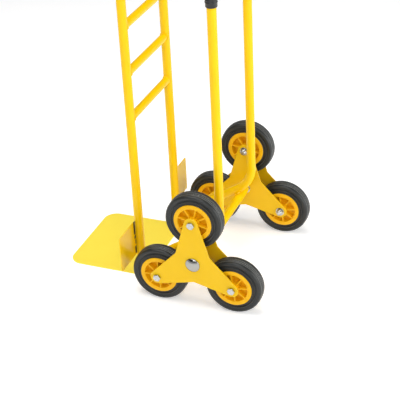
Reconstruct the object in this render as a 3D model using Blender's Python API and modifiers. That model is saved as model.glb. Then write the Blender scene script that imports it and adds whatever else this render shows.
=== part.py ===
"""Stair climbing trolley: a two-sided steel tube frame on two stars of three wheels.

Metres, +Z up. The toe plate and the load are towards -Y, the person who pulls stands at +Y. The wheels run
in planes of constant X, and left is +X, as seen by that person. The origin is on the ground, in the middle
of the trolley's length and width.
"""

import math

import bmesh
import bpy
from mathutils import Vector

# ---- Driving dimensions -------------------------------------------------------------------------------------

TOTAL_LENGTH = 0.628  # front edge of the toe plate to the back of the rear tyres
TOTAL_HEIGHT = 1.110
GAP = 0.0003  # between pieces that touch
WELD_GAP = 0.0005  # between a coped tube end and the post that it is welded to

# Wheels and stars
WHEEL_RADIUS = 0.080
TYRE_HALF_WIDTH = 0.020
RIM_RADIUS = 0.052
RIM_HALF_WIDTH = 0.0215
ARM_LENGTH = 0.1245  # axle to wheel bolt
STAR_X = 0.214  # middle plane of a star's wheels
PLATE_SPACE = 0.059  # between a star's two plates
PLATE_THICKNESS = 0.003
ARM_TIP_RADIUS = 0.020
WAIST_RADIUS = 0.0565  # axle to the inner corner between two arms
AXLE_RADIUS = 0.010
BUSH_BORE_RADIUS = 0.0104
BUSH_RADIUS = 0.0140
SLEEVE_RADIUS = 0.0190
BOLT_RADIUS = 0.006
BOLT_HOLE_RADIUS = 0.0064
BOLT_HEAD_HEIGHT = 0.0065
HEX_RADIUS = 0.0110  # corner radius of a 19 mm hexagon
NUT_HEIGHT = 0.0095
NUT_FLANGE_RADIUS = 0.0125
NUT_FLANGE_HEIGHT = 0.0018
THREAD_END = 0.0030  # how far a bolt stands out of its nut
WHEEL_BUSH_RADIUS = 0.0090
CAP_RADIUS = 0.0205
CAP_HEIGHT = 0.0095
WASHER_RADIUS = 0.0155
WASHER_THICKNESS = 0.0020

# Frame tubes
TUBE_RADIUS = 0.0125
TUBE_WALL = 0.0015
CROSSBAR_RADIUS = 0.0111
CROSSBAR_WALL = 0.0012
FRAME_X = 0.1315  # centre line of each side frame
UPRIGHT_TO_AXLE = 0.2064
REAR_TUBE_TO_AXLE = 0.0389  # the rear tube stands behind the axle
BEND_RADIUS = 0.085
LEG_SLOPE = math.radians(33)
LOWEST_CROSSBAR_Z = 0.4966
CROSSBAR_PITCH = 0.131
CROSSBARS = 4
AXLE_TUBE_WALL = 0.0020

# Sheet metal and grips
TOE_THICKNESS = 0.003
TOE_HALF_WIDTH = 0.1445
TOE_CORNER_RADIUS = 0.038
GUARD_THICKNESS = 0.002
GUARD_TO_AXLE = 0.2150
GUARD_OUTER_X = 0.2443
GUARD_LOW_Z, GUARD_HIGH_Z = 0.0727, 0.1814
GUARD_CORNER_RADIUS = 0.006
GRIP_LENGTH = 0.125
GRIP_WALL = 0.0038
GRIP_TOP_DROP = 0.012  # grip top below the start of the bow

# Worked out from those
WHEEL_ANGLES = {"top": 90, "front": 210, "rear": 330}  # degrees from +Y towards +Z, in the YZ plane
AXLE_Y = TOTAL_LENGTH / 2 - ARM_LENGTH * math.cos(math.radians(30)) - WHEEL_RADIUS
AXLE_Z = WHEEL_RADIUS + ARM_LENGTH / 2
PLATE_INNER_X = STAR_X - PLATE_SPACE / 2
PLATE_OUTER_X = STAR_X + PLATE_SPACE / 2
STAR_INNER_FACE = PLATE_INNER_X - PLATE_THICKNESS
STAR_OUTER_FACE = PLATE_OUTER_X + PLATE_THICKNESS
UPRIGHT_Y = AXLE_Y - UPRIGHT_TO_AXLE
REAR_TUBE_Y = AXLE_Y + REAR_TUBE_TO_AXLE
BOW_RADIUS = (REAR_TUBE_Y - UPRIGHT_Y) / 2
BOW_Z = TOTAL_HEIGHT - TUBE_RADIUS - BOW_RADIUS

# Facets of round pieces
WHEEL_FACETS = 28
SHAFT_FACETS = 20
BORE_FACETS = 16
DOME_STEPS = 4
ARC_STEP = math.radians(11.25)

# ---- Materials ----------------------------------------------------------------------------------------------

FINISHES = {  # colour, metallic, roughness
    "frame_paint": ((0.93, 0.60, 0.015), 0.0, 0.30),
    "star_paint": ((0.90, 0.57, 0.02), 0.0, 0.32),
    "toe_paint": ((0.95, 0.66, 0.05), 0.0, 0.32),
    "rim_plastic": ((0.93, 0.43, 0.005), 0.0, 0.42),
    "tyre_rubber": ((0.022, 0.022, 0.023), 0.0, 0.62),
    "grip_rubber": ((0.018, 0.018, 0.018), 0.0, 0.70),
    "zinc_steel": ((0.72, 0.73, 0.74), 1.0, 0.30),
    "chrome": ((0.85, 0.86, 0.87), 1.0, 0.10),
    "bush_nylon": ((0.62, 0.62, 0.58), 0.0, 0.50),
}


def make_material(name):
    colour, metallic, roughness = FINISHES[name]
    material = bpy.data.materials.new(name)
    material.use_nodes = True
    shader = material.node_tree.nodes["Principled BSDF"]
    shader.inputs["Base Color"].default_value = (*colour, 1.0)
    shader.inputs["Metallic"].default_value = metallic
    shader.inputs["Roughness"].default_value = roughness
    return material


# ---- Building blocks ----------------------------------------------------------------------------------------

WHEEL_AXIS = (math.pi / 2, 0, math.pi / 2)  # local X, Y, Z to world Y, Z, X
FACING_REAR = (math.pi / 2, 0, 0)  # local X, Y to world X, Z


def start_scene():
    for obj in list(bpy.data.objects):
        bpy.data.objects.remove(obj, do_unlink=True)
    collection = bpy.data.collections.new("stair_climbing_trolley")
    bpy.context.scene.collection.children.link(collection)
    return collection


def add_part(name, mesh, finish, location=(0, 0, 0), rotation=(0, 0, 0), parent=None):
    """Makes one named piece of the trolley. Its location is in the world, whatever its parent."""
    obj = bpy.data.objects.new(name, mesh)
    PARTS.objects.link(obj)
    obj.location = Vector(location) - (parent.location if parent else Vector())
    obj.rotation_euler = rotation
    obj.parent = parent
    if not mesh.materials:
        mesh.materials.append(MATERIALS[finish])
    return obj


def add_axis(name, location):
    """An empty on a joint's axis, which carries the pieces that turn about it."""
    empty = bpy.data.objects.new(name, None)
    PARTS.objects.link(empty)
    empty.location = location
    empty.empty_display_size = 0.03
    return empty


def baked(name, obj, helpers=()):
    """The object's mesh with its modifiers done, welded and smooth-shaded. The object is then removed."""
    bpy.context.view_layer.update()
    evaluated = obj.evaluated_get(bpy.context.evaluated_depsgraph_get())
    mesh = bpy.data.meshes.new_from_object(evaluated)
    mesh.name = name
    edit = bmesh.new()
    edit.from_mesh(mesh)
    bmesh.ops.remove_doubles(edit, verts=edit.verts, dist=1e-6)
    edit.to_mesh(mesh)
    edit.free()
    mesh.shade_smooth()
    mesh.set_sharp_from_angle(angle=math.radians(35))
    for used in (obj, *helpers):
        bpy.data.objects.remove(used, do_unlink=True)
    return mesh


def scratch(name, data):
    obj = bpy.data.objects.new(name, data)
    PARTS.objects.link(obj)
    return obj


def turned(name, profile, facets, closed=True):
    """A turned shape about local Z from (radius, height) points that run down its outer side."""
    mesh = bpy.data.meshes.new(name)
    edges = [(i, i + 1) for i in range(len(profile) - 1)]
    if closed:
        edges.append((len(profile) - 1, 0))
    mesh.from_pydata([(radius, 0, height) for radius, height in profile], edges, [])
    obj = scratch(name, mesh)
    screw = obj.modifiers.new("Turn", "SCREW")
    screw.steps = screw.render_steps = facets
    screw.use_merge_vertices = True
    screw.merge_threshold = 1e-5
    return baked(name, obj)


def ring(name, inner, outer, length, facets):
    """A plain ring or sleeve about local Z, centred on its middle."""
    half = length / 2
    return turned(name, [(inner, half), (outer, half), (outer, -half), (inner, -half)], facets)


def flat_plate(name, outline, holes, thickness):
    """A flat sheet in local XY with the given outline and holes, centred on its thickness."""
    curve = bpy.data.curves.new(name, "CURVE")
    curve.dimensions = "2D"
    curve.fill_mode = "BOTH"
    curve.extrude = thickness / 2
    for points in (outline, *holes):
        spline = curve.splines.new("POLY")
        spline.points.add(len(points) - 1)
        for point, (x, y) in zip(spline.points, points):
            point.co = (x, y, 0, 1)
        spline.use_cyclic_u = True
    return baked(name, scratch(name, curve))


def tube(name, path, radius, wall):
    """A hollow round tube along a path of points, open at both ends."""
    curve = bpy.data.curves.new(name, "CURVE")
    curve.dimensions = "3D"
    curve.bevel_depth = radius
    curve.bevel_resolution = 4
    spline = curve.splines.new("POLY")
    spline.points.add(len(path) - 1)
    for point, place in zip(spline.points, path):
        point.co = (*place, 1)
    obj = scratch(name, curve)
    shell = obj.modifiers.new("Wall", "SOLIDIFY")
    shell.thickness = wall
    shell.offset = -1
    shell.use_even_offset = True
    return baked(name, obj)


def cope(mesh, end, direction, post):
    """Slides the tube end that points along direction onto the surface of a vertical post, a fish mouth."""
    direction = Vector(direction).normalized()
    flat = direction.xy
    reach = TUBE_RADIUS + WELD_GAP
    for vertex in mesh.vertices:
        if (vertex.co - Vector(end)).dot(direction) < -1e-5:
            continue
        away = vertex.co.xy - Vector(post)
        half_b, rest = away.dot(flat), away.length_squared - reach**2
        slide = (-half_b - math.sqrt(half_b**2 - flat.length_squared * rest)) / flat.length_squared
        vertex.co += direction * slide


def arc(centre, radius, start, sweep, step=ARC_STEP):
    """Points along an arc in a plane, angles in radians, both ends included."""
    count = max(1, round(abs(sweep) / step))
    angles = [start + sweep * i / count for i in range(count + 1)]
    return [(centre[0] + radius * math.cos(a), centre[1] + radius * math.sin(a)) for a in angles]


def circle(centre, radius, facets):
    return arc(centre, radius, 0, -2 * math.pi, 2 * math.pi / facets)[:-1]


def join_meshes(name, first, others, cutters=()):
    """One mesh from overlapping meshes: the others are united with the first and the cutters taken away."""
    body = scratch(name, first)
    helpers = []
    for operation, group in (("UNION", others), ("DIFFERENCE", cutters)):
        for mesh in group:
            helper = scratch(name + "_helper", mesh)
            helper.hide_render = True
            helper.display_type = "WIRE"
            helpers.append(helper)
            boolean = body.modifiers.new(operation.title(), "BOOLEAN")
            boolean.operation = operation
            boolean.object = helper
    return baked(name, body, helpers)


def prism(name, radius, low, high, facets, turn=0.0):
    """A closed prism about local Z between two heights."""
    points = arc((0, 0), radius, turn, 2 * math.pi, 2 * math.pi / facets)[:-1]
    mesh = flat_plate(name, points, (), high - low)
    for vertex in mesh.vertices:
        vertex.co.z += (low + high) / 2
    return mesh


# ---- Frame --------------------------------------------------------------------------------------------------


def side_frame_path(x):
    """Toe plate, up the upright, over the bow, down the rear tube, round the bend and forward down the leg."""
    leg_direction = Vector((0, -math.cos(LEG_SLOPE), -math.sin(LEG_SLOPE)))
    turn = math.pi / 2 - LEG_SLOPE
    # The leg lies on the axle tube, so its centre line keeps two tube radii and a gap from the axle.
    clearance = 2 * TUBE_RADIUS + GAP
    bend_end_y = REAR_TUBE_Y - BEND_RADIUS * (1 - math.cos(turn))
    bend_end_z = AXLE_Z + (clearance + (bend_end_y - AXLE_Y) * math.sin(LEG_SLOPE)) / math.cos(LEG_SLOPE)
    bend_z = bend_end_z + BEND_RADIUS * math.sin(turn)
    bow = arc(((UPRIGHT_Y + REAR_TUBE_Y) / 2, BOW_Z), BOW_RADIUS, math.pi, -math.pi)
    bend = arc((REAR_TUBE_Y - BEND_RADIUS, bend_z), BEND_RADIUS, 0, -turn)
    path = [Vector((x, UPRIGHT_Y, TOE_THICKNESS + GAP))]
    path += [Vector((x, y, z)) for y, z in bow + bend]
    short_of_post = 2.5 * TUBE_RADIUS
    run = (path[-1].y - UPRIGHT_Y - short_of_post) / -leg_direction.y
    path.append(path[-1] + leg_direction * run)
    return path, leg_direction


def make_side_frame(side, x):
    path, leg_direction = side_frame_path(x)
    mesh = tube("side_frame", path, TUBE_RADIUS, TUBE_WALL)
    cope(mesh, path[-1], leg_direction, (x, UPRIGHT_Y))
    return add_part(f"side_frame_{side}", mesh, "frame_paint")


def make_crossbars():
    for number in range(CROSSBARS):
        z = LOWEST_CROSSBAR_Z + number * CROSSBAR_PITCH
        ends = [Vector((way * (FRAME_X - 2 * TUBE_RADIUS), UPRIGHT_Y, z)) for way in (-1, 1)]
        mesh = tube("crossbar", ends, CROSSBAR_RADIUS, CROSSBAR_WALL)
        for way, end in zip((-1, 1), ends):
            cope(mesh, end, (way, 0, 0), (way * FRAME_X, UPRIGHT_Y))
        add_part(f"crossbar_{number + 1}", mesh, "frame_paint")


def make_toe_plate():
    front, rear = -TOTAL_LENGTH / 2, UPRIGHT_Y + TUBE_RADIUS
    corner_x, corner_y = TOE_HALF_WIDTH - TOE_CORNER_RADIUS, front + TOE_CORNER_RADIUS
    outline = [(TOE_HALF_WIDTH, rear), (-TOE_HALF_WIDTH, rear)]
    outline += arc((-corner_x, corner_y), TOE_CORNER_RADIUS, math.pi, math.pi / 2)
    outline += arc((corner_x, corner_y), TOE_CORNER_RADIUS, -math.pi / 2, math.pi / 2)
    mesh = flat_plate("toe_plate", outline, (), TOE_THICKNESS)
    add_part("toe_plate", mesh, "toe_paint", (0, 0, TOE_THICKNESS / 2))


def make_guard(side, way):
    """The plate beside each upright that keeps the load out of the star's wheels."""
    offset = abs(UPRIGHT_Y - (AXLE_Y - GUARD_TO_AXLE)) - GUARD_THICKNESS / 2
    inner_x = FRAME_X + math.sqrt((TUBE_RADIUS + WELD_GAP) ** 2 - offset**2)
    radius = GUARD_CORNER_RADIUS
    corner_x = GUARD_OUTER_X - radius
    outline = [(inner_x, GUARD_HIGH_Z), (inner_x, GUARD_LOW_Z)]
    outline += arc((corner_x, GUARD_LOW_Z + radius), radius, -math.pi / 2, math.pi / 2, math.pi / 8)
    outline += arc((corner_x, GUARD_HIGH_Z - radius), radius, 0, math.pi / 2, math.pi / 8)
    outline = [(way * x, z) for x, z in outline]
    mesh = flat_plate("wheel_guard", outline, (), GUARD_THICKNESS)
    place = (0, AXLE_Y - GUARD_TO_AXLE, 0)
    add_part(f"wheel_guard_{side}", mesh, "star_paint", place, FACING_REAR)


def make_grip(side, x):
    inner = TUBE_RADIUS + GAP
    mesh = ring("grip", inner, inner + GRIP_WALL, GRIP_LENGTH, BORE_FACETS)
    place = (x, REAR_TUBE_Y, BOW_Z - GRIP_TOP_DROP - GRIP_LENGTH / 2)
    add_part(f"grip_{side}", mesh, "grip_rubber", place)


def make_axle():
    washer_face = STAR_INNER_FACE - GAP - WASHER_THICKNESS
    tube_length = 2 * (washer_face - GAP)
    axle_tube = ring("axle_tube", TUBE_RADIUS - AXLE_TUBE_WALL, TUBE_RADIUS, tube_length, SHAFT_FACETS)
    add_part("axle_tube", axle_tube, "frame_paint", (0, AXLE_Y, AXLE_Z), WHEEL_AXIS)
    half = STAR_OUTER_FACE + GAP
    shaft = prism("axle", AXLE_RADIUS, -half, half, SHAFT_FACETS)
    add_part("axle", shaft, "zinc_steel", (0, AXLE_Y, AXLE_Z), WHEEL_AXIS)


def make_axle_ends(side, way):
    washer = ring("axle_washer", BUSH_BORE_RADIUS, WASHER_RADIUS, WASHER_THICKNESS, SHAFT_FACETS)
    place = (way * (STAR_INNER_FACE - GAP - WASHER_THICKNESS / 2), AXLE_Y, AXLE_Z)
    add_part(f"axle_washer_{side}", washer, "zinc_steel", place, WHEEL_AXIS)
    # The cap's dome is the top of a sphere that passes through its rim and its crown.
    rim_height = 0.0015
    rise = CAP_HEIGHT - rim_height
    dome_radius = (CAP_RADIUS**2 + rise**2) / (2 * rise)
    edge_angle = math.asin(CAP_RADIUS / dome_radius)
    dome = [edge_angle * i / DOME_STEPS for i in range(DOME_STEPS + 1)]
    crown = CAP_HEIGHT - dome_radius
    profile = [(dome_radius * math.sin(a), crown + dome_radius * math.cos(a)) for a in dome]
    profile += [(CAP_RADIUS, 0), (0, 0)]
    cap = turned("axle_cap", profile, SHAFT_FACETS, closed=False)
    place = (way * (STAR_OUTER_FACE + 2 * GAP), AXLE_Y, AXLE_Z)
    add_part(f"axle_cap_{side}", cap, "chrome", place, (math.pi / 2, 0, way * math.pi / 2))


# ---- Stars and wheels ---------------------------------------------------------------------------------------


def wheel_place(angle):
    """Where a wheel's bolt is in the star's own plane, from the axle."""
    turn = math.radians(angle)
    return Vector((ARM_LENGTH * math.cos(turn), ARM_LENGTH * math.sin(turn)))


def star_outline():
    """Three arms: a round tip about each bolt, and straight flanks that meet in a corner between the arms."""
    outline = []
    for angle in WHEEL_ANGLES.values():
        tip = wheel_place(angle)
        waist_turn = math.radians(angle - 60)
        waist = Vector((math.cos(waist_turn), math.sin(waist_turn))) * WAIST_RADIUS
        # The flank is tangent to the tip's circle, seen from the waist corner.
        to_waist = waist - tip
        spread = math.acos(ARM_TIP_RADIUS / to_waist.length)
        touch = math.atan2(to_waist.y, to_waist.x) + spread
        half_sweep = (math.radians(angle) - touch) % (2 * math.pi)
        outline.append(tuple(waist))
        outline += arc(tip, ARM_TIP_RADIUS, touch, 2 * half_sweep, math.radians(24))
    return outline


def make_star(side, way):
    star = add_axis(f"star_{side}", (way * STAR_X, AXLE_Y, AXLE_Z))
    holes = [circle((0, 0), BUSH_BORE_RADIUS, SHAFT_FACETS)]
    holes += [circle(wheel_place(a), BOLT_HOLE_RADIUS, BORE_FACETS) for a in WHEEL_ANGLES.values()]
    for layer, face in (("outer", PLATE_OUTER_X), ("inner", STAR_INNER_FACE)):
        mesh = flat_plate("star_plate", star_outline(), holes, PLATE_THICKNESS)
        place = (way * (face + PLATE_THICKNESS / 2), AXLE_Y, AXLE_Z)
        add_part(f"star_{layer}_plate_{side}", mesh, "star_paint", place, WHEEL_AXIS, star)
    length = PLATE_SPACE - 2 * GAP
    sleeve = ring("hub_sleeve", BUSH_RADIUS + GAP, SLEEVE_RADIUS, length, SHAFT_FACETS)
    add_part(f"hub_sleeve_{side}", sleeve, "star_paint", star.location, WHEEL_AXIS, star)
    bush = ring("hub_bush", BUSH_BORE_RADIUS, BUSH_RADIUS, length, SHAFT_FACETS)
    add_part(f"hub_bush_{side}", bush, "bush_nylon", star.location, WHEEL_AXIS, star)
    return star


def bolt_mesh():
    """A hexagon bolt whose head seats at height 0 and whose shank runs down local Z."""
    length = PLATE_SPACE + 2 * PLATE_THICKNESS + 2 * GAP + NUT_FLANGE_HEIGHT + NUT_HEIGHT + THREAD_END
    head = prism("bolt_head", HEX_RADIUS, 0, BOLT_HEAD_HEIGHT, 6)
    shank = prism("bolt_shank", BOLT_RADIUS, -length, BOLT_HEAD_HEIGHT / 2, BORE_FACETS)
    return join_meshes("wheel_bolt", head, [shank])


def nut_mesh():
    """A flanged lock nut whose flange seats at height 0 and whose hexagon stands down local Z."""
    flange = prism("nut_flange", NUT_FLANGE_RADIUS, -NUT_FLANGE_HEIGHT, 0, SHAFT_FACETS)
    hexagon = prism("nut_hexagon", HEX_RADIUS, -NUT_FLANGE_HEIGHT - NUT_HEIGHT, -NUT_FLANGE_HEIGHT / 2, 6)
    bore = prism("nut_bore", BOLT_HOLE_RADIUS, -2 * NUT_HEIGHT, NUT_HEIGHT, BORE_FACETS)
    return join_meshes("lock_nut", flange, [hexagon], [bore])


def rim_mesh():
    """Moulded rim: a long hub, a thin web and a flanged barrel that carries the tyre."""
    hub_half, hub_radius = PLATE_SPACE / 2 - 0.0005, 0.0160
    web_half, barrel_radius, lip = 0.003, 0.0455, 0.0015
    bore = WHEEL_BUSH_RADIUS + GAP
    upper = [
        (bore, hub_half),
        (hub_radius, hub_half),
        (hub_radius, web_half),
        (barrel_radius, web_half),
        (barrel_radius + lip, RIM_HALF_WIDTH),
        (RIM_RADIUS, RIM_HALF_WIDTH),
    ]
    return turned("rim", upper + [(r, -h) for r, h in reversed(upper)], WHEEL_FACETS)


def tyre_mesh():
    """Solid rubber tyre: flat tread, rounded shoulders and upright side walls."""
    shoulder = 0.009
    inner = RIM_RADIUS + GAP
    upper = [(inner, TYRE_HALF_WIDTH)]
    centre = (WHEEL_RADIUS - shoulder, TYRE_HALF_WIDTH - shoulder)
    upper += arc(centre, shoulder, math.pi / 2, -math.pi / 2, math.pi / 4)
    return turned("tyre", upper + [(r, -h) for r, h in reversed(upper)], WHEEL_FACETS)


def make_wheels(side, way, star, meshes):
    for place_name, angle in WHEEL_ANGLES.items():
        offset = wheel_place(angle)
        y, z = AXLE_Y + offset.x, AXLE_Z + offset.y
        outward = (math.pi / 2, 0, way * math.pi / 2)
        ending = f"{side}_{place_name}"
        bolt_place = (way * (STAR_OUTER_FACE + GAP), y, z)
        nut_place = (way * (STAR_INNER_FACE - GAP), y, z)
        add_part(f"wheel_bolt_{ending}", meshes["bolt"], "zinc_steel", bolt_place, outward, star)
        add_part(f"lock_nut_{ending}", meshes["nut"], "zinc_steel", nut_place, outward, star)
        wheel = add_axis(f"wheel_{ending}", (way * STAR_X, y, z))
        add_part(f"wheel_bush_{ending}", meshes["bush"], "bush_nylon", wheel.location, outward, wheel)
        add_part(f"rim_{ending}", meshes["rim"], "rim_plastic", wheel.location, outward, wheel)
        add_part(f"tyre_{ending}", meshes["tyre"], "tyre_rubber", wheel.location, outward, wheel)


# ---- Assembly -----------------------------------------------------------------------------------------------

PARTS = start_scene()
MATERIALS = {finish: make_material(finish) for finish in FINISHES}

make_crossbars()
make_toe_plate()
make_axle()
shared = {
    "bolt": bolt_mesh(),
    "nut": nut_mesh(),
    "bush": ring("wheel_bush", BOLT_HOLE_RADIUS, WHEEL_BUSH_RADIUS, PLATE_SPACE - 2 * GAP, BORE_FACETS),
    "rim": rim_mesh(),
    "tyre": tyre_mesh(),
}
for side_name, direction_x in (("left", 1), ("right", -1)):
    make_side_frame(side_name, direction_x * FRAME_X)
    make_guard(side_name, direction_x)
    make_grip(side_name, direction_x * FRAME_X)
    make_axle_ends(side_name, direction_x)
    make_wheels(side_name, direction_x, make_star(side_name, direction_x), shared)
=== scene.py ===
"""Looks of the stair climbing trolley: smooth powder-coated tubes and plates with their welds, moulded
rims, grooved solid tyres, zinc fasteners, chrome caps and rubber grips, built round the CAD frame.

Metres, +Z up, in the CAD frame: the load side is -Y, the person who pulls stands at +Y, and left is +X.
"""

import math

import bmesh
import bpy
from mathutils import Matrix, Quaternion, Vector


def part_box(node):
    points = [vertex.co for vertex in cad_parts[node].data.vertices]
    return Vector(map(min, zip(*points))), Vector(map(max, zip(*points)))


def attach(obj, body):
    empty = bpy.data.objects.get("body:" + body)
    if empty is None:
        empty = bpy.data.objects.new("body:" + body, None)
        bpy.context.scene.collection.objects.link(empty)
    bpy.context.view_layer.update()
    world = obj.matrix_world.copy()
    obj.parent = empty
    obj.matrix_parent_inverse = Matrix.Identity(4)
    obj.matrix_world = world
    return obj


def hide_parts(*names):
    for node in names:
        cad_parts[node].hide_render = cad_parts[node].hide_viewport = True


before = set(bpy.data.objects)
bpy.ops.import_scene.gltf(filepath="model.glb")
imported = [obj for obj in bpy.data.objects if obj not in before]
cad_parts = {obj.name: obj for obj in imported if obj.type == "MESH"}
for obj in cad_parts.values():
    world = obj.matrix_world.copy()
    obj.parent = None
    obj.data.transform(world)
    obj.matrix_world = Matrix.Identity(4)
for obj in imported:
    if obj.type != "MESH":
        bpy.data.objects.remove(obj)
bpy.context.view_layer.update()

SIDES = {"left": 1, "right": -1}
PLACES = {"top": 90, "front": 210, "rear": 330}  # a wheel's direction from the axle, from +Y towards +Z
# How far each wheel has rolled, as the angle of its first rib from the rearward direction, in degrees.
RIB_TURNS = {
    ("left", "top"): 30,
    ("left", "front"): 3,
    ("left", "rear"): 7,
    ("right", "top"): 10,
    ("right", "front"): 21,
    ("right", "rear"): 38,
}


# ---- Measures read from the frame ----------------------------------------------------------------


def middle(node):
    low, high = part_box(node)
    return (low + high) / 2


def side_of(node, axis):
    low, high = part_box(node)
    return high[axis] - low[axis]


AXLE = middle("axle")
TUBE_RADIUS = side_of("side_frame_left", 0) / 2
FRAME_X = middle("side_frame_left").x
UPRIGHT_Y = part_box("side_frame_left")[0].y + TUBE_RADIUS
REAR_TUBE_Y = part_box("side_frame_left")[1].y - TUBE_RADIUS
TOP_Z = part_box("side_frame_left")[1].z
TOE_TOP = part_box("toe_plate")[1].z
CROSSBAR_RADIUS = side_of("crossbar_1", 2) / 2
TYRE_RADIUS = side_of("tyre_left_top", 2) / 2
TYRE_HALF_WIDTH = side_of("tyre_left_top", 0) / 2
ARM_LENGTH = middle("tyre_left_top").z - AXLE.z
OUTER_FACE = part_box("star_outer_plate_left")[1].x
INNER_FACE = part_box("star_inner_plate_left")[0].x
PLATE_THICKNESS = side_of("star_outer_plate_left", 0)
HUB_HALF_LENGTH = side_of("rim_left_top", 0) / 2

# Shapes that the frame's boxes don't give, the same as in the CAD part
BEND_RADIUS = 0.085
LEG_SLOPE = math.radians(33)
ARM_TIP_RADIUS = 0.020
WAIST_RADIUS = 0.0565
WAIST_FILLET = 0.008
TOE_CORNER_RADIUS = 0.038
GUARD_CORNER_RADIUS = 0.006
AXLE_HOLE_RADIUS = 0.0104
BOLT_HOLE_RADIUS = 0.0064
SLEEVE_BORE_RADIUS = 0.0143

# Details that only the looks have
SHEET_EDGE = 0.0005  # rounding of cut sheet edges under their paint
WELD_RADIUS = 0.0024
# Cut-outs of a guard beside its upright, from the top: start and end as shares of its height, and depth
GUARD_CUT_OUTS = (
    (1.0, 0.61, 0.0105),
    (0.573, 0.48, 0.0095),
    (0.443, 0.30, 0.0050),
    (0.265, 0.04, 0.0095),
)

# ---- Mesh building -------------------------------------------------------------------------------


def skin(rings, looped=False):
    """Points and faces of a surface through rings of equally many points. Looped joins the last ring to
    the first; otherwise the two end rings are filled."""
    count = len(rings[0])
    points = [tuple(point) for ring in rings for point in ring]
    faces = []
    for i in range(len(rings) if looped else len(rings) - 1):
        here, there = i * count, (i + 1) % len(rings) * count
        for j in range(count):
            k = (j + 1) % count
            faces.append((here + j, here + k, there + k, there + j))
    if not looped:
        faces.append(tuple(range(count)))
        faces.append(tuple(range(len(points) - count, len(points)))[::-1])
    return points, faces


def mesh_of(name, *parts, sharp=40):
    """One mesh from parts of points and faces, welded, facing out and smooth up to the sharp angle."""
    mesh = bpy.data.meshes.new(name)
    points, faces = [], []
    for part_points, part_faces in parts:
        shift = len(points)
        points += part_points
        faces += [tuple(index + shift for index in face) for face in part_faces]
    mesh.from_pydata(points, [], faces)
    edit = bmesh.new()
    edit.from_mesh(mesh)
    bmesh.ops.remove_doubles(edit, verts=edit.verts, dist=2e-6)
    bmesh.ops.dissolve_degenerate(edit, edges=edit.edges, dist=1e-6)
    bmesh.ops.recalc_face_normals(edit, faces=edit.faces)
    edit.to_mesh(mesh)
    edit.free()
    mesh.shade_smooth()
    mesh.set_sharp_from_angle(angle=math.radians(sharp))
    return mesh


def arc(centre, radius, start, sweep, step=4):
    """Points along an arc in a plane, angles and the step between points in degrees."""
    count = max(1, round(abs(sweep) / step))
    angles = [math.radians(start + sweep * i / count) for i in range(count + 1)]
    return [(centre[0] + radius * math.cos(a), centre[1] + radius * math.sin(a)) for a in angles]


def revolve(profile, facets, shape=None, closed=True):
    """A turned body about local Z from (radius, height) points. shape(angle, radius, height) may change
    the radius. A profile that isn't closed begins and ends on the axis."""
    rings = []
    for i in range(facets):
        angle = 2 * math.pi * i / facets
        ring = []
        for radius, height in profile:
            if shape:
                radius = shape(angle, radius, height)
            ring.append((radius * math.cos(angle), radius * math.sin(angle), height))
        rings.append(ring)
    count = len(profile)
    points = [point for ring in rings for point in ring]
    faces = []
    for i in range(facets):
        here, there = i * count, (i + 1) % facets * count
        for j in range(count if closed else count - 1):
            k = (j + 1) % count
            faces.append((here + j, here + k, there + k, there + j))
    return points, faces


def pipe(path, radius, sides=36, looped=False):
    """A round bar along a path of vectors. The radius is a number, or one for each point of the path."""
    count = len(path)
    radii = radius if hasattr(radius, "__len__") else [radius] * count
    rings, normal = [], None
    for i, point in enumerate(path):
        before = path[i - 1] if i or looped else point
        after = path[(i + 1) % count] if i < count - 1 or looped else point
        along = (after - before).normalized()
        if normal is None:
            normal = along.orthogonal().normalized()
        normal = (normal - along * normal.dot(along)).normalized()
        across = along.cross(normal)
        turns = [2 * math.pi * j / sides for j in range(sides)]
        rings.append([point + (normal * math.cos(t) + across * math.sin(t)) * radii[i] for t in turns])
    return skin(rings, looped)


def bead(path, radius=WELD_RADIUS, looped=False):
    """A weld bead along a path: a thick line of overlapping ripples, uneven as a hand-made weld is."""
    ripple, step = 0.0027, 0.0007
    if looped:
        path = path + path[:1]
    lengths = [0.0]
    for a, b in zip(path, path[1:]):
        lengths.append(lengths[-1] + (b - a).length)
    count = max(6, round(lengths[-1] / step))
    points, radii, leg = [], [], 0
    for i in range(count if looped else count + 1):
        at = lengths[-1] * i / count
        while leg < len(path) - 2 and lengths[leg + 1] < at:
            leg += 1
        share = (at - lengths[leg]) / max(lengths[leg + 1] - lengths[leg], 1e-9)
        points.append(path[leg].lerp(path[leg + 1], share))
        wave = abs(math.sin(math.pi * at / ripple))
        drift = math.sin(at * 310) * 0.06 + math.sin(at * 737 + 1.3) * 0.05
        end = 1.0 if looped else min(1.0, 0.45 + min(at, lengths[-1] - at) / (1.2 * radius))
        radii.append(radius * (0.84 + 0.16 * wave + drift) * end)
    return pipe(points, radii, 10, looped)


def cope(part, end, direction, post_x, keep=0.0004):
    """Slides the vertices at a bar's end onto an upright's surface, so that it fits as a fish mouth."""
    points, faces = part
    flat = direction.normalized().xy
    slid = []
    for point in points:
        vertex = Vector(point)
        if (vertex - end).length < 1.2 * TUBE_RADIUS:
            away = vertex.xy - Vector((post_x, UPRIGHT_Y))
            half_b, rest = away.dot(flat), away.length_squared - (TUBE_RADIUS + keep) ** 2
            slide = (-half_b - math.sqrt(half_b**2 - flat.length_squared * rest)) / flat.length_squared
            vertex += direction.normalized() * slide
        slid.append(tuple(vertex))
    return slid, faces


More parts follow.
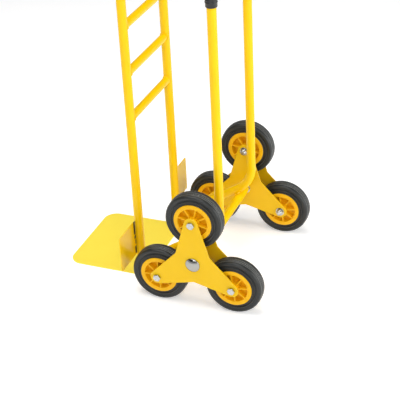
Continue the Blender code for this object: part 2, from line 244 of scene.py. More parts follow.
def sheet_metal(name, outline, holes, thickness):
    """A flat plate in local XY with rounded edges. Its outline and holes keep their size."""
    curve = bpy.data.curves.new(name, "CURVE")
    curve.dimensions = "2D"
    curve.fill_mode = "BOTH"
    curve.extrude = thickness / 2 - SHEET_EDGE
    curve.bevel_depth = SHEET_EDGE
    curve.bevel_resolution = 2
    curve.offset = -SHEET_EDGE
    for points in (outline, *holes):
        spline = curve.splines.new("POLY")
        spline.points.add(len(points) - 1)
        for point, (x, y) in zip(spline.points, points):
            point.co = (x, y, 0, 1)
        spline.use_cyclic_u = True
    holder = bpy.data.objects.new(name, curve)
    bpy.context.scene.collection.objects.link(holder)
    bpy.context.view_layer.update()
    made = bpy.data.meshes.new_from_object(holder.evaluated_get(bpy.context.evaluated_depsgraph_get()))
    bpy.data.objects.remove(holder)
    points = [tuple(vertex.co) for vertex in made.vertices]
    faces = [tuple(polygon.vertices) for polygon in made.polygons]
    return mesh_of(name, (points, faces), sharp=50)


# ---- Materials -----------------------------------------------------------------------------------


class Look:
    """A Principled material with short ways to add the procedural nodes that these finishes use."""

    def __init__(self, name, metallic=0.0, **values):
        self.material = bpy.data.materials.new(name)
        self.material.use_nodes = True
        self.tree = self.material.node_tree
        self.shader = self.tree.nodes["Principled BSDF"]
        self.place = self.tree.nodes.new("ShaderNodeTexCoord").outputs["Object"]
        self.shader.inputs["Metallic"].default_value = metallic
        for socket, value in values.items():
            self.shader.inputs[socket.replace("_", " ")].default_value = value

    def link(self, value, socket):
        if isinstance(value, bpy.types.NodeSocket):
            self.tree.links.new(value, socket)
        else:
            socket.default_value = value

    def stretched(self, scale):
        """Object coordinates scaled by axis, for grain that runs one way."""
        node = self.tree.nodes.new("ShaderNodeMapping")
        self.tree.links.new(self.place, node.inputs["Vector"])
        node.inputs["Scale"].default_value = scale
        return node.outputs["Vector"]

    def noise(self, scale, detail=2.0, rough=0.5, place=None):
        """Noise from 0 to 1, with scale in features per metre."""
        node = self.tree.nodes.new("ShaderNodeTexNoise")
        self.tree.links.new(place or self.place, node.inputs["Vector"])
        node.inputs["Scale"].default_value = scale
        node.inputs["Detail"].default_value = detail
        node.inputs["Roughness"].default_value = rough
        return node.outputs["Fac"]

    def span(self, value, low, high, from_low=0.3, from_high=0.7):
        """The value stretched from one range to another and kept inside it."""
        node = self.tree.nodes.new("ShaderNodeMapRange")
        self.tree.links.new(value, node.inputs["Value"])
        node.inputs["From Min"].default_value = from_low
        node.inputs["From Max"].default_value = from_high
        node.inputs["To Min"].default_value = low
        node.inputs["To Max"].default_value = high
        return node.outputs["Result"]

    def mix(self, factor, first, second):
        node = self.tree.nodes.new("ShaderNodeMix")
        node.data_type = "RGBA"
        self.link(factor, node.inputs[0])
        self.link(first if not isinstance(first, tuple) else (*first, 1.0), node.inputs[6])
        self.link(second if not isinstance(second, tuple) else (*second, 1.0), node.inputs[7])
        return node.outputs[2]

    def maths(self, operation, vector):
        """One number from a vector, such as its length."""
        node = self.tree.nodes.new("ShaderNodeVectorMath")
        node.operation = operation
        self.tree.links.new(vector, node.inputs[0])
        return node.outputs["Value"]

    def bumps(self, *layers):
        """Bump layers of (height, distance in metres, strength), one on top of the other."""
        normal = None
        for height, distance, strength in layers:
            node = self.tree.nodes.new("ShaderNodeBump")
            self.tree.links.new(height, node.inputs["Height"])
            node.inputs["Distance"].default_value = distance
            node.inputs["Strength"].default_value = strength
            if normal:
                self.tree.links.new(normal, node.inputs["Normal"])
            normal = node.outputs["Normal"]
        self.tree.links.new(normal, self.shader.inputs["Normal"])

    def colour(self, value):
        self.link(value, self.shader.inputs["Base Color"])

    def roughness(self, value):
        self.link(value, self.shader.inputs["Roughness"])


def powder_coat(name, colour, deeper, scuffs=0.02, wavy=0.01):
    """Glossy powder coat: orange peel, slow drifts that deepen the colour, and faint scuffs."""
    look = Look(name, IOR=1.42, Specular_IOR_Level=0.24, Coat_Weight=0.06, Coat_Roughness=0.10)
    drift = look.noise(14, 3, 0.55)
    scratch = look.noise(55, 6, 0.75, look.stretched((1, 6, 1)))
    scuffed = look.span(scratch, 0.0, scuffs * 6, 0.66, 0.84)
    paint = look.mix(look.span(drift, 0.0, 1.0), colour, deeper)
    pale = tuple(0.75 * channel + 0.2 for channel in colour)
    look.colour(look.mix(scuffed, paint, pale))
    look.roughness(look.span(look.noise(30, 3, 0.5), 0.20, 0.27))
    look.bumps((look.noise(620, 1.5), 0.0002, 0.03), (look.noise(24, 2), 0.0010, wavy))
    return look.material


def moulded_plastic(name, colour, deeper):
    """Injection-moulded plastic: flow marks in the colour, a fine spark-eroded grain and soft sheen."""
    look = Look(name, IOR=1.42, Specular_IOR_Level=0.30)
    flow = look.noise(40, 4, 0.6, look.stretched((1, 1, 2.5)))
    look.colour(look.mix(look.span(flow, 0.0, 1.0), colour, deeper))
    look.roughness(look.span(look.noise(160, 4, 0.6), 0.34, 0.50))
    look.bumps((look.noise(1500, 2), 0.0002, 0.10), (look.noise(90, 2), 0.0006, 0.04))
    return look.material


def rubber(name, colour, dusty, dust=0.35, tread=None):
    """Solid rubber: black with a fine pitted grain, paler where dust and bloom collect. A tyre is also
    paler on its tread, partly from wear and partly as painted sheen, and paler still in the grooves,
    partly from dust and partly as a painted highlight: tread is its half width, the radius below which a
    groove begins, and the two colours."""
    look = Look(name, IOR=1.42)
    cloud = look.span(look.noise(28, 6, 0.7), 0.0, dust, 0.45, 0.75)
    paint = look.mix(cloud, colour, dusty)
    if tread:
        half_width, groove_radius, tread_wear_and_sheen, groove_dust_and_highlight = tread
        # Painted sheen and highlight: the tread is painted paler partly for wear and partly for the sheen
        # it shows at a glancing angle, and the grooves much paler partly for dust and partly as a painted
        # highlight along them.
        out = look.maths("LENGTH", look.stretched((1, 1, 0)))
        across = look.maths("LENGTH", look.stretched((0, 0, 1)))
        lines = look.mix(look.span(out, 1.0, 0.0, groove_radius, groove_radius + 0.0004), tread_wear_and_sheen, groove_dust_and_highlight)
        paint = look.mix(look.span(across, 1.0, 0.0, half_width, half_width + 0.0006), paint, lines)
    look.colour(paint)
    look.roughness(look.span(look.noise(90, 5, 0.65), 0.30, 0.42))
    look.bumps((look.noise(1100, 3, 0.6), 0.0003, 0.08), (look.noise(150, 2), 0.0004, 0.02))
    return look.material


def bright_metal(name, colour, darker, smoothest, roughest, grain):
    """Plated steel: its plating clouds a little, and fine grain breaks up the reflections."""
    look = Look(name, metallic=1.0)
    cloud = look.noise(160, 4, 0.6)
    look.colour(look.mix(look.span(cloud, 0.0, 1.0), colour, darker))
    look.roughness(look.span(look.noise(420, 4, 0.6), smoothest, roughest))
    look.bumps((look.noise(1600, 3), 0.0002, grain))
    return look.material


def floor_paper(name):
    """White paper that glows faintly, so that it stays as white as the room."""
    look = Look(name, Emission_Color=(1.0, 1.0, 1.0, 1.0), Emission_Strength=0.3)
    look.colour(look.mix(look.noise(3, 3), (0.93, 0.93, 0.93), (0.91, 0.91, 0.91)))
    look.roughness(look.span(look.noise(200, 3), 0.75, 0.9))
    look.bumps((look.noise(900, 3), 0.0003, 0.1))
    return look.material


MATERIALS = {
    "frame_paint": powder_coat("frame_paint", (0.88, 0.555, 0.002), (0.86, 0.525, 0.002)),
    # The star plates wear the frame's yellow painted a little darker, as painted shade.
    "star_paint": powder_coat("star_paint", (0.80, 0.50, 0.006), (0.77, 0.47, 0.005), wavy=0.06),
    # The toe plate wears the frame's yellow painted paler, as painted light falling on its top.
    "toe_paint": powder_coat("toe_paint", (0.98, 0.79, 0.085), (0.97, 0.77, 0.080), 0.04, wavy=0.05),
    "rim_plastic": moulded_plastic("rim_plastic", (0.84, 0.45, 0.001), (0.79, 0.41, 0.001)),
    "tyre_rubber": rubber(
        "tyre_rubber",
        (0.0175, 0.0190, 0.0180),
        (0.040, 0.042, 0.039),
        dust=0.22,
        # The tread's paler grey is partly wear and partly painted sheen; the grooves' pale grey is partly
        # dust and partly a painted highlight.
        tread=(0.0080, 0.0788, (0.034, 0.036, 0.033), (0.50, 0.50, 0.48)),
    ),
    "grip_rubber": rubber("grip_rubber", (0.016, 0.016, 0.016), (0.034, 0.033, 0.032), dust=0.25),
    "zinc_steel": bright_metal("zinc_steel", (0.58, 0.59, 0.58), (0.38, 0.39, 0.38), 0.14, 0.28, 0.12),
    "chrome": bright_metal("chrome", (0.39, 0.39, 0.37), (0.36, 0.36, 0.34), 0.04, 0.09, 0.02),
    "bush_nylon": moulded_plastic("bush_nylon", (0.66, 0.66, 0.61), (0.58, 0.58, 0.53)),
}

# ---- Pieces --------------------------------------------------------------------------------------


def add_piece(name, mesh, finish, body, *stands_for, matrix=None):
    """Puts a finished mesh in the scene as a named piece that rides on a body and stands for CAD nodes."""
    if not mesh.materials:
        mesh.materials.append(MATERIALS[finish])
    obj = bpy.data.objects.new(name, mesh)
    bpy.context.scene.collection.objects.link(obj)
    if matrix:
        obj.matrix_world = matrix
    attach(obj, body)
    if stands_for:
        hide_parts(*stands_for)
    return obj


def weighted_normals(obj):
    """Keeps a plate's flat faces flat in shading beside its rounded edges."""
    modifier = obj.modifiers.new("weighted_normals", "WEIGHTED_NORMAL")
    modifier.keep_sharp = True


def outward(way, point, turn=0.0):
    """Local Z to the trolley's outside, local Y up. A turn is about the wheel axis, in degrees."""
    axes = Matrix(((0, 0, way), (way, 0, 0), (0, 1, 0)))
    return Matrix.Translation(point) @ axes.to_4x4() @ Matrix.Rotation(math.radians(turn), 4, "Z")


def side_frame_path(x):
    """The bent tube's centre line: upright, bow, rear tube, bend and forward leg."""
    bow_radius = (REAR_TUBE_Y - UPRIGHT_Y) / 2
    bow_z = TOP_Z - TUBE_RADIUS - bow_radius
    turn = math.pi / 2 - LEG_SLOPE
    bend_end_y = REAR_TUBE_Y - BEND_RADIUS * (1 - math.cos(turn))
    rise = (2 * TUBE_RADIUS + (bend_end_y - AXLE.y) * math.sin(LEG_SLOPE)) / math.cos(LEG_SLOPE)
    bend_z = AXLE.z + rise + BEND_RADIUS * math.sin(turn)
    bow = arc(((UPRIGHT_Y + REAR_TUBE_Y) / 2, bow_z), bow_radius, 180, -180)
    bend = arc((REAR_TUBE_Y - BEND_RADIUS, bend_z), BEND_RADIUS, 0, -math.degrees(turn))
    path = [Vector((x, UPRIGHT_Y, TOE_TOP))] + [Vector((x, y, z)) for y, z in bow + bend]
    direction = Vector((0, -math.cos(LEG_SLOPE), -math.sin(LEG_SLOPE)))
    run = (path[-1].y - UPRIGHT_Y - 2.5 * TUBE_RADIUS) / -direction.y
    path.append(path[-1] + direction * run)
    return path, direction


def mouth_line(post_x, foot, direction, radius, count=48):
    """The closed line where a round bar meets an upright, a little proud of both."""
    off_bar, off_post = 0.0006, 0.0009
    direction = direction.normalized()
    across = direction.cross(Vector((0, 0, 1))).normalized()
    over = across.cross(direction)
    points = []
    for i in range(count):
        turn = 2 * math.pi * i / count
        start = foot + (across * math.cos(turn) + over * math.sin(turn)) * (radius + off_bar)
        away = start.xy - Vector((post_x, UPRIGHT_Y))
        flat = direction.xy
        rest = away.length_squared - (TUBE_RADIUS + off_post) ** 2
        inside = max(away.dot(flat) ** 2 - flat.length_squared * rest, 0.0)
        points.append(start + direction * (-away.dot(flat) - math.sqrt(inside)) / flat.length_squared)
    return points


def make_side_frame(side, way):
    """One bent tube, coped where its leg meets its upright, with its welds."""
    path, direction = side_frame_path(way * FRAME_X)
    tube = cope(pipe(path, TUBE_RADIUS), path[-1], direction, way * FRAME_X)
    mesh = mesh_of("bent_tube", tube)
    add_piece(f"bent_tube_{side}", mesh, "frame_paint", "frame", f"side_frame_{side}")
    mouth = mouth_line(way * FRAME_X, path[-1], direction, TUBE_RADIUS)
    seams = [bead(mouth, looped=True)]
    # The foot is welded round to the front of the upright, where the toe plate has room for it.
    off_tube, off_plate = 0.0008, 0.0006
    foot = arc((way * FRAME_X, UPRIGHT_Y), TUBE_RADIUS + off_tube, -205, 230, 6)
    seams.append(bead([Vector((x, y, TOE_TOP + off_plate)) for x, y in foot]))
    # The leg lies on the axle tube, and a small ring of weld fills the wedge round their touching point.
    up = Vector((0, -math.sin(LEG_SLOPE), math.cos(LEG_SLOPE)))
    touch = AXLE + Vector((way * FRAME_X, 0, 0)) + up * TUBE_RADIUS
    across = Vector((1, 0, 0))
    ring_radius, ring_bead = 0.0085, 0.0030
    ring = [touch + direction * y + across * x for x, y in arc((0, 0), ring_radius, 0, 360, 8)[:-1]]
    seams.append(bead(ring, ring_bead, looped=True))
    add_piece(f"frame_welds_{side}", mesh_of("frame_welds", *seams, sharp=80), "frame_paint", "frame")


def make_crossbars():
    """Plain bars with coped ends and a bead of weld round each."""
    seams = []
    number = 1
    while f"crossbar_{number}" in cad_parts:
        centre = middle(f"crossbar_{number}")
        reach = Vector((FRAME_X - 2 * TUBE_RADIUS, 0, 0))
        bar = pipe([centre - reach, centre + reach], CROSSBAR_RADIUS)
        for way in SIDES.values():
            direction = Vector((way, 0, 0))
            bar = cope(bar, centre + reach * way, direction, way * FRAME_X)
            seams.append(bead(mouth_line(way * FRAME_X, centre, direction, CROSSBAR_RADIUS), looped=True))
        mesh = mesh_of("crossbar", bar)
        add_piece(f"coped_crossbar_{number}", mesh, "frame_paint", "frame", f"crossbar_{number}")
        number += 1
    add_piece("crossbar_welds", mesh_of("crossbar_welds", *seams, sharp=80), "frame_paint", "frame")


def make_toe_plate():
    """A flat sheet with two round front corners."""
    low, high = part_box("toe_plate")
    corner = TOE_CORNER_RADIUS
    outline = [(high.x, high.y), (low.x, high.y)]
    outline += arc((low.x + corner, low.y + corner), corner, 180, 90)
    outline += arc((high.x - corner, low.y + corner), corner, 270, 90)
    mesh = sheet_metal("toe_sheet", outline, (), high.z - low.z)
    place = Matrix.Translation((0, 0, (low.z + high.z) / 2))
    weighted_normals(add_piece("toe_sheet", mesh, "toe_paint", "frame", "toe_plate", matrix=place))


def make_guard(side, way):
    """A wheel guard, cut back from its upright between short welded tabs, over a black strip that is
    painted shade for the crevice beside the upright.
    """
    low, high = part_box(f"wheel_guard_{side}")
    gap, radius, height = 0.0002, GUARD_CORNER_RADIUS, high.z - low.z
    inner, outer = sorted((abs(low.x), abs(high.x)))
    inner += gap
    outline = arc((outer - radius, low.z + radius), radius, -90, 90, 10)
    outline += arc((outer - radius, high.z - radius), radius, 0, 90, 10)
    notches = []
    for start, end, depth in GUARD_CUT_OUTS:
        top, foot = low.z + height * start, low.z + height * end
        notches += [(inner, top), (inner + depth, top), (inner + depth, foot), (inner, foot)]
    # The first cut-out is open at the guard's top edge, so its upper corner at the upright falls away.
    outline += notches[1:] + [(inner, low.z)]
    mesh = sheet_metal("guard_sheet", [(way * x, z) for x, z in outline], (), high.y - low.y)
    y = (low.y + high.y) / 2
    place = Matrix.Translation((0, y, 0)) @ Matrix.Rotation(math.pi / 2, 4, "X")
    node = f"wheel_guard_{side}"
    weighted_normals(add_piece(f"guard_sheet_{side}", mesh, "frame_paint", "frame", node, matrix=place))
    # Painted shade: a thin black rubber strip behind the cut-outs stands for the dark crevice between the
    # guard and its upright.
    lap, width, inset, thickness = 0.0006, 0.012, 0.002, 0.0012
    shade_outline = [(inner - lap, low.z + inset), (inner + width, low.z + inset)]
    shade_outline += [(inner + width, high.z - inset), (inner - lap, high.z - inset)]
    mesh = sheet_metal("painted_shade_strip", [(way * x, z) for x, z in shade_outline], (), thickness)
    add_piece(f"painted_shade_strip_{side}", mesh, "grip_rubber", "frame", matrix=place)
    # A tab runs from each cut-out's end to the next one's start, and the last tab to the foot.
    tab_feet = [start for start, _, _ in GUARD_CUT_OUTS[1:]] + [0.0]
    tab_x, tab_bead = way * (inner - 0.0004), 0.0023
    seams = []
    for foot, (_, top, _) in zip(tab_feet, GUARD_CUT_OUTS):
        ends = [Vector((tab_x, y, low.z + height * share)) for share in (foot, top)]
        seams.append(bead(ends, tab_bead))
    add_piece(f"guard_welds_{side}", mesh_of("guard_welds", *seams, sharp=80), "frame_paint", "frame")


def make_grip(side):
    """A moulded grip with finger rings between two plain ends."""
    low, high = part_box(f"grip_{side}")
    length, outer, inner = high.z - low.z, side_of(f"grip_{side}", 0) / 2, TUBE_RADIUS + 0.0001
    ring_height, collar, rings, chamfer = 0.0012, 0.010, 18, 0.0015
    base = outer - ring_height
    profile = [(inner, length), (base - chamfer, length), (base, length - chamfer)]
    pitch = (length - 2 * collar) / rings
    for i in range(rings):
        top = length - collar - i * pitch
        for share, swell in ((0.0, 0.0), (0.16, 0.75), (0.34, 1.0), (0.52, 0.75), (0.68, 0.0)):
            profile.append((base + ring_height * swell, top - pitch * share))
    profile += [(base, chamfer), (base - chamfer, 0), (inner, 0)]
    mesh = mesh_of("moulded_grip", revolve(profile, 48), sharp=60)
    place = Matrix.Translation((middle(f"grip_{side}").x, REAR_TUBE_Y, low.z))
    add_piece(f"moulded_grip_{side}", mesh, "grip_rubber", "frame", f"grip_{side}", matrix=place)


def chamfered_ring(inner, outer, length, chamfer):
    """The profile of a ring or short tube, centred on its own middle."""
    half = length / 2
    return [
        (inner, half - chamfer),
        (inner + chamfer, half),
        (outer - chamfer, half),
        (outer, half - chamfer),
        (outer, chamfer - half),
        (outer - chamfer, -half),
        (inner + chamfer, -half),
        (inner, chamfer - half),
    ]


def make_axle_parts():
    """The tube between the stars, and a thrust washer and a cap at each side."""
    length = side_of("axle_tube", 0)
    tube = revolve(chamfered_ring(AXLE_HOLE_RADIUS, TUBE_RADIUS, length, 0.0006), 40)
    mesh = mesh_of("axle_tube", tube)
    add_piece("smooth_axle_tube", mesh, "frame_paint", "frame", "axle_tube", matrix=outward(1, AXLE))
    for side, way in SIDES.items():
        node = f"axle_washer_{side}"
        thickness, radius, bore = side_of(node, 0), side_of(node, 2) / 2, 0.0102
        mesh = mesh_of("thrust_washer", revolve(chamfered_ring(bore, radius, thickness, 0.0003), 48))
        place = outward(way, middle(node))
        add_piece(f"thrust_washer_{side}", mesh, "zinc_steel", "frame", node, matrix=place)
        make_cap(side, way)


def make_cap(side, way):
    """A pressed chrome cap: a short crimped skirt and a shallow dome with a soft shoulder."""
    low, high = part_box(f"axle_cap_{side}")
    height, radius = high.x - low.x, (high.z - low.z) / 2
    seat = min(abs(low.x), abs(high.x))
    skirt, shoulder = 0.0024, 0.0030
    rise = height - skirt
    dome = (radius**2 + rise**2) / (2 * rise)
    profile = [(0, 0), (radius - 0.0010, 0), (radius, 0.0005), (radius, skirt - 0.0006)]
    profile += [(radius - 0.0004, skirt + 0.0004), (radius - 0.0014, skirt + 0.0012)]
    edge = math.degrees(math.asin((radius - shoulder) / dome))
    steps = 12
    for i in range(steps + 1):
        turn = math.radians(edge * (1 - i / steps))
        profile.append((dome * math.sin(turn), height - dome + dome * math.cos(turn)))
    mesh = mesh_of("pressed_cap", revolve(profile, 64, closed=False), sharp=60)
    place = outward(way, Vector((way * seat, AXLE.y, AXLE.z)))
    add_piece(f"pressed_cap_{side}", mesh, "chrome", "frame", f"axle_cap_{side}", matrix=place)


# ---- Stars ---------------------------------------------------------------------------------------


def arm_end(angle):
    """The middle of an arm's tip in the star's own plane."""
    turn = math.radians(angle)
    return Vector((ARM_LENGTH * math.cos(turn), ARM_LENGTH * math.sin(turn)))


def star_outline():
    """Three arms with round tips and straight flanks, filleted where two arms meet."""
    outline = []
    for angle in PLACES.values():
        tip = arm_end(angle)
        waist_turn = math.radians(angle - 60)
        waist = Vector((math.cos(waist_turn), math.sin(waist_turn))) * WAIST_RADIUS
        to_waist = waist - tip
        spread = math.acos(ARM_TIP_RADIUS / to_waist.length)
        touch = math.degrees(math.atan2(to_waist.y, to_waist.x) + spread)
        # The two flanks at the waist mirror each other about the line from the axle through it.
        touch_point = Vector(arc(tip, ARM_TIP_RADIUS, touch, 0)[0])
        flank = (touch_point - waist).normalized()
        outward_line = waist.normalized()
        half = math.acos(flank.dot(outward_line))
        centre = waist + outward_line * WAIST_FILLET / math.sin(half)
        sweep = 180 - 2 * math.degrees(half)
        facing_in = math.degrees(waist_turn) + 180
        outline += arc(centre, WAIST_FILLET, facing_in + sweep / 2, -sweep, 8)
        outline += arc(tip, ARM_TIP_RADIUS, touch, 2 * ((angle - touch) % 360), 6)
    return outline


def make_star(side, way):
    """Two laser-cut plates and the hub sleeve that is welded between them."""
    holes = [arc((0, 0), AXLE_HOLE_RADIUS, 0, -360, 7.5)[:-1]]
    holes += [arc(arm_end(angle), BOLT_HOLE_RADIUS, 0, -360, 10)[:-1] for angle in PLACES.values()]
    for layer in ("outer", "inner"):
        node = f"star_{layer}_plate_{side}"
        mesh = sheet_metal("star_sheet", star_outline(), holes, PLATE_THICKNESS)
        place = outward(1, Vector((middle(node).x, AXLE.y, AXLE.z)))
        name = f"star_sheet_{layer}_{side}"
        weighted_normals(add_piece(name, mesh, "star_paint", f"star_{side}", node, matrix=place))
    node = f"hub_sleeve_{side}"
    length, radius = side_of(node, 0), side_of(node, 2) / 2
    place = outward(way, middle(node))
    sleeve = revolve(chamfered_ring(SLEEVE_BORE_RADIUS, radius, length, 0.0004), 48)
    mesh = mesh_of("turned_sleeve", sleeve)
    add_piece(f"turned_sleeve_{side}", mesh, "star_paint", f"star_{side}", node, matrix=place)
    off_sleeve, off_plate = 0.0006, 0.0008
    circle = arc((0, 0), radius + off_sleeve, 0, 360, 6)[:-1]
    seams = []
    for height in (off_plate - length / 2, length / 2 - off_plate):
        seams.append(bead([Vector((x, y, height)) for x, y in circle], looped=True))
    welds = mesh_of("hub_welds", *seams, sharp=80)
    add_piece(f"hub_welds_{side}", welds, "star_paint", f"star_{side}", matrix=place)


# ---- Wheels and fasteners ------------------------------------------------------------------------

HEX_FLAT = 0.0095  # half the width across flats of an M12 head
HEX_CORNER = HEX_FLAT / math.cos(math.pi / 6)
HEX_FACE_RADIUS = 0.0086  # of the round face inside the chamfered corners
HEAD_HEIGHT = 0.0065
NUT_HEIGHT = 0.0095
WASHER_THICKNESS = 0.0018
INSERT_RADIUS, INSERT_HEIGHT = 0.0069, 0.0018  # the nylon ring in a lock nut
INSERT_TO_END = 0.0011  # from the middle of the ring to the nut's end
BOLT_RADIUS = 0.006
THREAD_PITCH = 0.00175
THREAD_DEPTH = 0.0009
RIBS = 8


def hexagonal(angle, radius, height):
    """Cuts a turned profile down to a hexagon."""
    from_flat = (angle + math.pi / 6) % (math.pi / 3) - math.pi / 6
    return min(radius, HEX_FLAT / math.cos(from_flat))


def threaded(angle, radius, height):
    """Cuts a helical thread into the parts of a turned profile that are at full bolt radius."""
    if abs(radius - BOLT_RADIUS) > 1e-6:
        return radius
    phase = (height / THREAD_PITCH - angle / (2 * math.pi)) % 1
    return radius - THREAD_DEPTH * (1 - abs(2 * phase - 1))


def hex_chamfer(height, slope=0.5, steps=5):
    """Profile points from a hexagon's round face out to its corners, the height falling on the way."""
    radii = [HEX_FACE_RADIUS + (HEX_CORNER - HEX_FACE_RADIUS) * i / steps for i in range(steps + 1)]
    return [(radius, height - (radius - HEX_FACE_RADIUS) * slope) for radius in radii]


def bolt_mesh(length):
    """A hexagon bolt seated at height 0: washer face, chamfered head with a shallow dish, threaded end."""
    dish, top = HEAD_HEIGHT - 0.0005, HEAD_HEIGHT
    shank, washer_face = BOLT_RADIUS - 0.00001, 0.0092
    profile = [(0, dish), (0.0052, dish), (0.0068, top - 0.0002)] + hex_chamfer(top)
    profile += [(HEX_CORNER, 0.0008), (washer_face, 0.0006), (washer_face, 0), (shank, 0)]
    thread_start, thread_end, step = 0.022 - length, 0.0008 - length, THREAD_PITCH / 7
    profile += [(shank, thread_start)]
    count = int((thread_start - thread_end) / step)
    profile += [(BOLT_RADIUS, thread_start - step * (i + 1)) for i in range(count)]
    profile += [(BOLT_RADIUS - 0.0011, -length), (0, -length)]

    def shape(angle, radius, height):
        return hexagonal(angle, radius, height) if height > 0 else threaded(angle, radius, height)

    return mesh_of("hex_bolt", revolve(profile, 60, shape, closed=False), sharp=35)


def nut_mesh():
    """A lock nut that stands down from height 0: a hexagon with two chamfers, and a round collar that
    holds the insert."""
    collar, collar_radius, bore = 0.0026, 0.0083, BOLT_RADIUS + 0.0001
    foot = collar - NUT_HEIGHT
    profile = [(bore, 0.0)] + hex_chamfer(0.0)
    profile += [(radius, foot - z) for radius, z in reversed(hex_chamfer(0.0))]
    profile += [(collar_radius, foot - 0.0004), (collar_radius, foot - collar + 0.0009)]
    profile += [(0.0076, -NUT_HEIGHT), (0.0070, -NUT_HEIGHT)]
    profile += [(INSERT_RADIUS, 0.0006 - NUT_HEIGHT), (bore, 0.0006 - NUT_HEIGHT)]
    return mesh_of("lock_nut", revolve(profile, 60, hexagonal), sharp=35)


def rim_stations():
    """Across the rim's face: (radius, height of the pocket floor, height of a rib's crest)."""
    hub_end, face = HUB_HALF_LENGTH, 0.0215
    return [
        (0.0093, hub_end - 0.0005, hub_end - 0.0005),
        (0.0098, hub_end, hub_end),
        (0.0146, hub_end, hub_end),
        (0.0154, hub_end - 0.0008, hub_end - 0.0008),
        (0.0158, 0.0232, 0.0232),
        (0.0160, 0.0222, 0.0226),
        (0.0168, 0.0078, 0.0224),
        (0.0182, 0.0060, 0.0222),
        (0.0285, 0.0056, 0.0215),
        (0.0387, 0.0060, 0.0208),
        (0.0401, 0.0078, 0.0207),
        (0.0414, 0.0196, 0.0206),
        (0.0417, 0.0207, 0.0207),
        (0.0423, face - 0.0002, face - 0.0002),
        (0.0432, face, face),
        (0.0517, face, face),
        (0.0527, face - 0.0003, face - 0.0003),
        (0.0533, face - 0.0011, face - 0.0011),
        (0.0534, face - 0.0030, face - 0.0030),
        (0.0505, face - 0.0031, face - 0.0031),
    ]


def rim_mesh():
    """A moulded rim: hub, thin web, eight tapering ribs on each face and a broad flange round them."""
    half_rib, draft, soft, pocket_lines = 0.0015, 0.0005, 0.0004, 9
    stations = rim_stations()
    rings = []
    pitch = 2 * math.pi / RIBS
    for rib in range(RIBS):
        crest = rib * pitch
        # Lines across a rib: offset from its middle, and how much of the crest's height they reach.
        for offset, share in (
            (-half_rib - draft, 0.0),
            (-half_rib, 0.97),
            (-half_rib + soft, 1.0),
            (half_rib - soft, 1.0),
            (half_rib, 0.97),
            (half_rib + draft, 0.0),
        ):
            ring = []
            for radius, floor, top in stations:
                angle = crest + math.asin(offset / radius)
                ring.append((radius, angle, floor + (top - floor) * share))
            rings.append(ring)
        for line in range(1, pocket_lines + 1):
            share = line / (pocket_lines + 1)
            ring = []
            for radius, floor, _ in stations:
                inset = math.asin((half_rib + draft) / radius)
                ring.append((radius, crest + inset + (pitch - 2 * inset) * share, floor))
            rings.append(ring)
    sections = []
    for ring in rings:
        both = ring + [(radius, angle, -height) for radius, angle, height in reversed(ring)]
        sections.append([(r * math.cos(a), r * math.sin(a), h) for r, a, h in both])
    return mesh_of("moulded_rim", skin(sections, looped=True), sharp=38)


def tyre_mesh():
    """A solid tyre: a sunk band beside the rim, a round lip outside it, a hollow wall that rises again to
    a deep round shoulder, and a narrow grooved tread."""
    radius, half = TYRE_RADIUS, TYRE_HALF_WIDTH
    wall = [(0.0507, 0.0184), (0.0530, 0.0183), (0.0540, 0.0170), (0.0562, 0.0166), (0.0588, 0.0168)]
    wall += [(0.0604, 0.0176)]
    lip = 0.0017
    wall += arc((0.0626, half - lip), lip, 165, -150, 15)
    wall += [(0.0648, half - 0.0030), (0.0664, half - 0.0032), (0.0684, half - 0.0025)]
    wall += [(0.0704, half - 0.0015), (0.0720, half - 0.0009)]
    # The shoulder is part of an ellipse, deeper than it is high.
    low, high, deep, sunk = 0.0734, 0.0060, 0.0088, 0.0096
    wall += [(low + high * x, half - sunk + deep * y) for x, y in arc((0, 0), 1.0, 88, -81, 9)]
    # The tread crowns towards its middle, and a groove runs along both its edges and twice between them.
    tread_edge, crown, groove, depth, chamfer = 0.0090, 0.0005, 0.0009, 0.0014, 0.0003
    tread = []
    for place in (tread_edge, tread_edge / 3):
        edge = radius - crown * (place / tread_edge) ** 2
        tread += [(edge, place + groove + chamfer), (edge - chamfer, place + groove)]
        tread += [(edge - depth, place + groove / 2), (edge - depth, place - groove / 2)]
        tread += [(edge - chamfer, place - groove), (edge, place - groove - chamfer)]
    upper = wall + tread
    return mesh_of("solid_tyre", revolve(upper + [(r, -z) for r, z in reversed(upper)], 128), sharp=45)


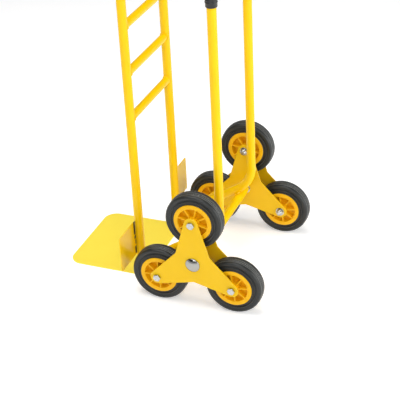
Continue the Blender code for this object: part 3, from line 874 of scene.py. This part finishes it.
def make_wheels():
    """Each wheel's rim and tyre, and on its star the bolt, the washer and the lock nut with its insert."""
    bolt_length = side_of("wheel_bolt_left_top", 0) - HEAD_HEIGHT
    washer_bore, washer_radius = 0.0063, side_of("lock_nut_left_top", 2) / 2
    washer_profile = chamfered_ring(washer_bore, washer_radius, WASHER_THICKNESS, 0.0002)
    insert_profile = chamfered_ring(BOLT_RADIUS + 0.00005, INSERT_RADIUS, INSERT_HEIGHT, 0.0003)
    washer = mesh_of("flat_washer", revolve(washer_profile, 48))
    insert = mesh_of("lock_nut_insert", revolve(insert_profile, 40))
    bolt, nut, rim, tyre = bolt_mesh(bolt_length), nut_mesh(), rim_mesh(), tyre_mesh()
    for side, way in SIDES.items():
        for place in PLACES:
            ending = f"{side}_{place}"
            star, wheel = f"star_{side}", f"wheel_{ending}"
            centre, turn = middle(f"tyre_{ending}"), RIB_TURNS[side, place]
            at = outward(way, centre, turn)
            add_piece(f"moulded_rim_{ending}", rim, "rim_plastic", wheel, f"rim_{ending}", matrix=at)
            at = outward(way, centre)
            add_piece(f"solid_tyre_{ending}", tyre, "tyre_rubber", wheel, f"tyre_{ending}", matrix=at)
            # The bolts and nuts stand at odd angles, as a spanner leaves them.
            at = outward(way, Vector((way * OUTER_FACE, centre.y, centre.z)), 13 * turn)
            add_piece(f"hex_bolt_{ending}", bolt, "zinc_steel", star, f"wheel_bolt_{ending}", matrix=at)
            back = Vector((way * INNER_FACE, centre.y, centre.z))
            thin = Vector((way * WASHER_THICKNESS, 0, 0))
            at = outward(way, back - thin, 7 * turn)
            add_piece(f"nyloc_nut_{ending}", nut, "zinc_steel", star, f"lock_nut_{ending}", matrix=at)
            at = outward(way, back - thin / 2)
            add_piece(f"flat_washer_{ending}", washer, "zinc_steel", star, matrix=at)
            inset = Vector((way * (NUT_HEIGHT - INSERT_TO_END), 0, 0))
            at = outward(way, back - thin - inset)
            add_piece(f"nut_insert_{ending}", insert, "bush_nylon", star, matrix=at)


def dress_cad_nodes():
    """The plain round pieces that stay as they are: the axle and the nylon bushes."""
    for name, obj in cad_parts.items():
        if name == "axle" or "bush" in name:
            finish = "zinc_steel" if name == "axle" else "bush_nylon"
            obj.data.materials.clear()
            obj.data.materials.append(MATERIALS[finish])


# ---- Stage ---------------------------------------------------------------------------------------


def add_floor():
    """A wide white sheet at the height of the wheels' foot."""
    reach = 12.0
    corners = [(-reach, -reach, 0), (reach, -reach, 0), (reach, reach, 0), (-reach, reach, 0)]
    mesh = bpy.data.meshes.new("floor")
    mesh.from_pydata(corners, [], [(0, 1, 2, 3)])
    mesh.materials.append(floor_paper("floor_paper"))
    floor = bpy.data.objects.new("floor", mesh)
    bpy.context.scene.collection.objects.link(floor)


def add_light(name, place, target, size, power):
    """A square or oblong soft box that faces its target, power in watts."""
    data = bpy.data.lights.new(name, "AREA")
    data.shape = "RECTANGLE"
    data.size, data.size_y = size
    data.energy = power
    light = bpy.data.objects.new(name, data)
    bpy.context.scene.collection.objects.link(light)
    light.location = place
    light.rotation_mode = "QUATERNION"
    light.rotation_quaternion = (Vector(target) - Vector(place)).to_track_quat("-Z", "Y")


def add_world():
    """A room that is white up to just above the horizon, dark above that and grey overhead, so that metal
    has contrast."""
    world = bpy.data.worlds.new("studio")
    world.use_nodes = True
    tree = world.node_tree
    place = tree.nodes.new("ShaderNodeTexCoord").outputs["Generated"]
    split = tree.nodes.new("ShaderNodeSeparateXYZ")
    tree.links.new(place, split.inputs["Vector"])
    ramp = tree.nodes.new("ShaderNodeValToRGB")
    tree.links.new(split.outputs["Z"], ramp.inputs["Fac"])
    # Height of the direction, from the horizon's 0 to 1 straight up, and how bright the room is there
    stops = ((0.0, 1.0), (0.16, 1.0), (0.24, 0.06), (0.50, 0.06), (0.72, 0.40), (1.0, 0.40))
    while len(ramp.color_ramp.elements) < len(stops):
        ramp.color_ramp.elements.new(0.5)
    for element, (position, grey) in zip(ramp.color_ramp.elements, stops):
        element.position = position
        element.color = (grey, grey, grey, 1.0)
    background = tree.nodes["Background"]
    tree.links.new(ramp.outputs["Color"], background.inputs["Color"])
    background.inputs["Strength"].default_value = 0.70
    bpy.context.scene.world = world


def add_camera():
    """Behind the trolley's left side and above it, with a long lens and a slight roll."""
    azimuth, elevation, roll = math.radians(112.59), math.radians(30.70), math.radians(-2.90)
    flat = math.cos(elevation)
    back = Vector((math.sin(azimuth) * flat, -math.cos(azimuth) * flat, math.sin(elevation)))
    target, distance = Vector((0.1728, AXLE.y, 0.3032)), 3.1455
    data = bpy.data.cameras.new("camera")
    data.lens = 106.2
    data.clip_end = 60
    camera = bpy.data.objects.new("camera", data)
    bpy.context.scene.collection.objects.link(camera)
    camera.location = target + back * distance
    camera.rotation_mode = "QUATERNION"
    camera.rotation_quaternion = (-back).to_track_quat("-Z", "Y") @ Quaternion((0, 0, 1), roll)
    bpy.context.scene.camera = camera


# ---- Assembly ------------------------------------------------------------------------------------

for side_name, side_way in SIDES.items():
    make_side_frame(side_name, side_way)
    make_guard(side_name, side_way)
    make_grip(side_name)
    make_star(side_name, side_way)
make_crossbars()
make_toe_plate()
make_axle_parts()
make_wheels()
dress_cad_nodes()

add_floor()
add_world()
add_light("key", place=(0.3, -0.5, 3.4), target=(0.1, 0.1, 0.3), size=(3.0, 3.0), power=86)
add_light("side", place=(0.2, 3.6, 1.3), target=(0.1, 0.1, 0.4), size=(4.2, 2.2), power=94)
add_light("fill", place=(7.5, 2.1, 5.7), target=(0.0, 0.1, 0.2), size=(7.0, 4.5), power=330)
add_camera()
bpy.context.scene.view_settings.view_transform = "Standard"
